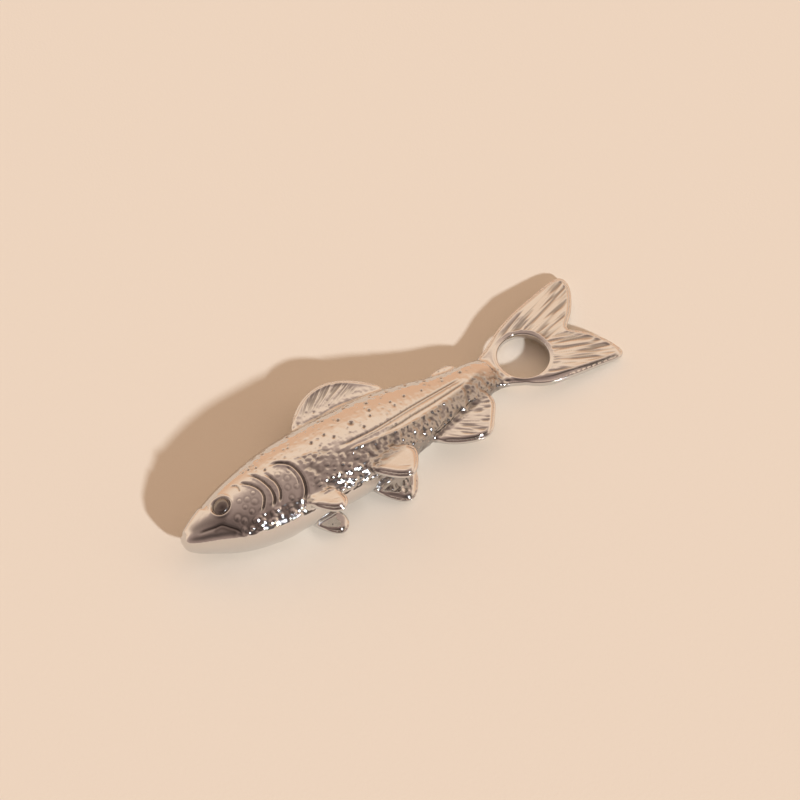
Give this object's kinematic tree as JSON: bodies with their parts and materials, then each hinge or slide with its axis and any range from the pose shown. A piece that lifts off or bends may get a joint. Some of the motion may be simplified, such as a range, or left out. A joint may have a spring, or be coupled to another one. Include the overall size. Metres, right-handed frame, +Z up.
{
  "type": "bottle opener",
  "caption": "Cast metal trout lying on its side, with a crown cap opener let into its underside and a round hanging hole through the root of its tail.",
  "frame": {"origin": "on the plane that the fish lies on, under the middle of its bounding box", "axes": "+X towards the tail, +Y towards the fish's back, +Z up out of its left flank"},
  "size_m": [0.1213, 0.0368, 0.0148],
  "materials": {
    "plated_casting": "polished silver-coloured plate over a casting, dark in its recesses",
    "lifter_steel": "brushed stainless steel",
    "screw_steel": "plain steel"
  },
  "bodies": {
    "root": {"fish_casting": "plated_casting", "cap_lifter": "lifter_steel", "lifter_screws": "screw_steel"}
  },
  "joints": []
}
